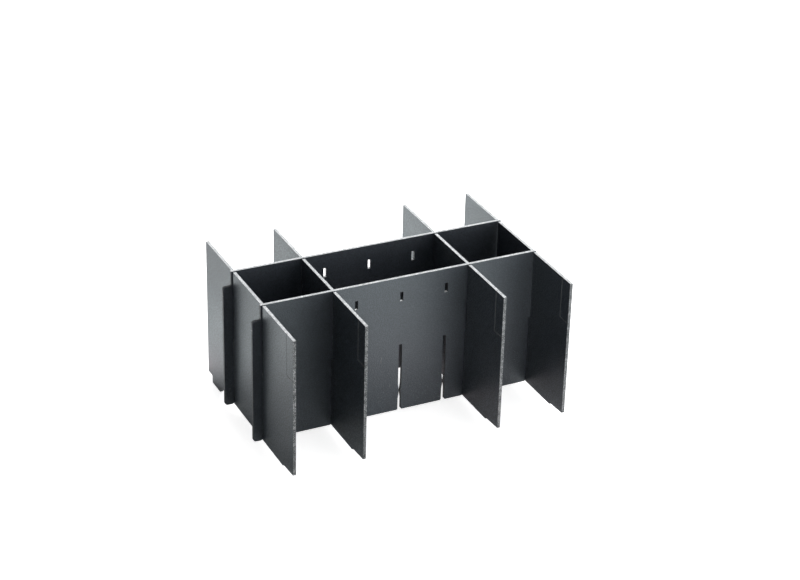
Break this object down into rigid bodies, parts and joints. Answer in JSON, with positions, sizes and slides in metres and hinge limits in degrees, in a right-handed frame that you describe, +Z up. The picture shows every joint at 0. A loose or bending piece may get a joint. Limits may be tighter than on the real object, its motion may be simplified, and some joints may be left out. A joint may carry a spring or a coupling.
{
  "type": "tool case divider",
  "caption": "Egg-crate divider for a tool case: dark plastic boards that push together at half-height slots, with stepped end tabs, spare slots and windows, and footed cross boards.",
  "frame": {"origin": "the centre of the bottom of the bounding box, on the level of the cross boards' feet", "axes": "+X runs along the long boards to the right, +Y to the back of the case where the feet are, +Z up"},
  "size_m": [0.375, 0.267, 0.1875],
  "materials": {
    "sheet": "fine-grained, semi-gloss, near-black grey plastic sheet with lighter sawn edges"
  },
  "bodies": {
    "root": {"long_divider_front": "sheet", "long_divider_rear": "sheet", "cross_divider_1": "sheet", "cross_divider_2": "sheet", "cross_divider_3": "sheet", "cross_divider_4": "sheet"}
  },
  "joints": []
}
